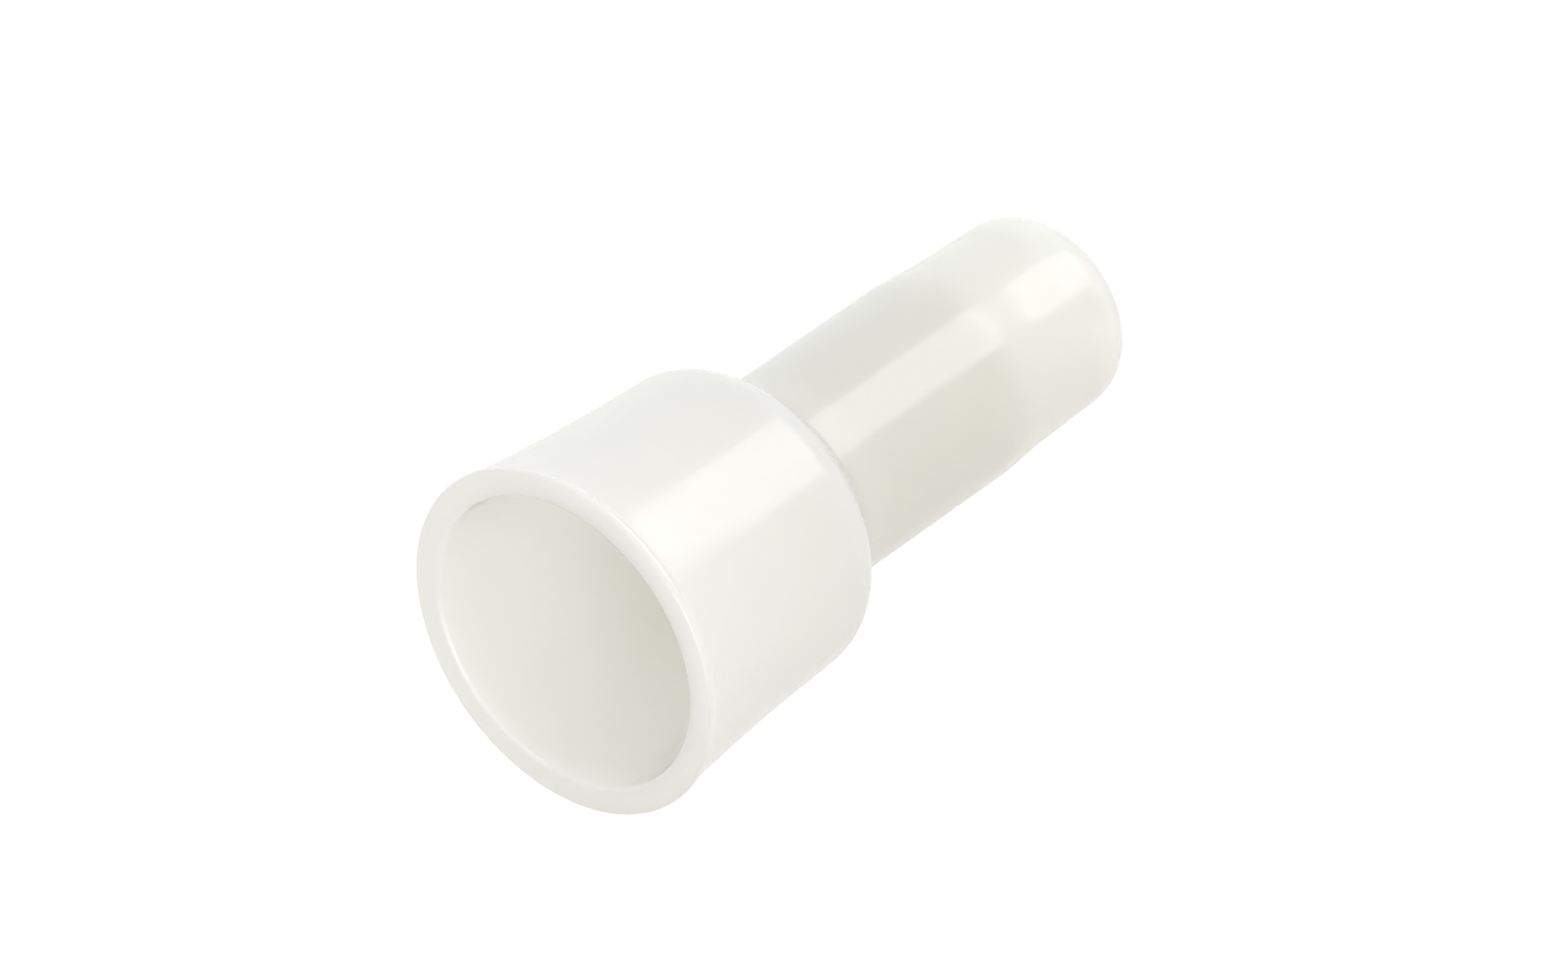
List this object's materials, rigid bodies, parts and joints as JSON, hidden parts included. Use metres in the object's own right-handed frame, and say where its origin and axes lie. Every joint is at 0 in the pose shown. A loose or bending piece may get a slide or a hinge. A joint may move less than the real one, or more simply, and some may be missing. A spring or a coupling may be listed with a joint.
{
  "type": "closed-end crimp connector",
  "caption": "Closed-end crimp connector: a flared translucent nylon cap with a crimp sleeve pressed into its narrow blind barrel, for splicing wire ends.",
  "frame": {"origin": "centre of the closed end, on the surface that the connector stands on with its mouth up", "axes": "+Z along the axis out of the mouth; the part is round about Z, so +X and +Y have no feature to face"},
  "size_m": [0.0132, 0.0132, 0.0269],
  "materials": {
    "nylon": "natural milky translucent nylon, semi-gloss as moulded",
    "sleeve_metal": "tin plated, satin"
  },
  "bodies": {
    "root": {"nylon_cap": "nylon", "crimp_sleeve": "sleeve_metal"}
  },
  "joints": []
}
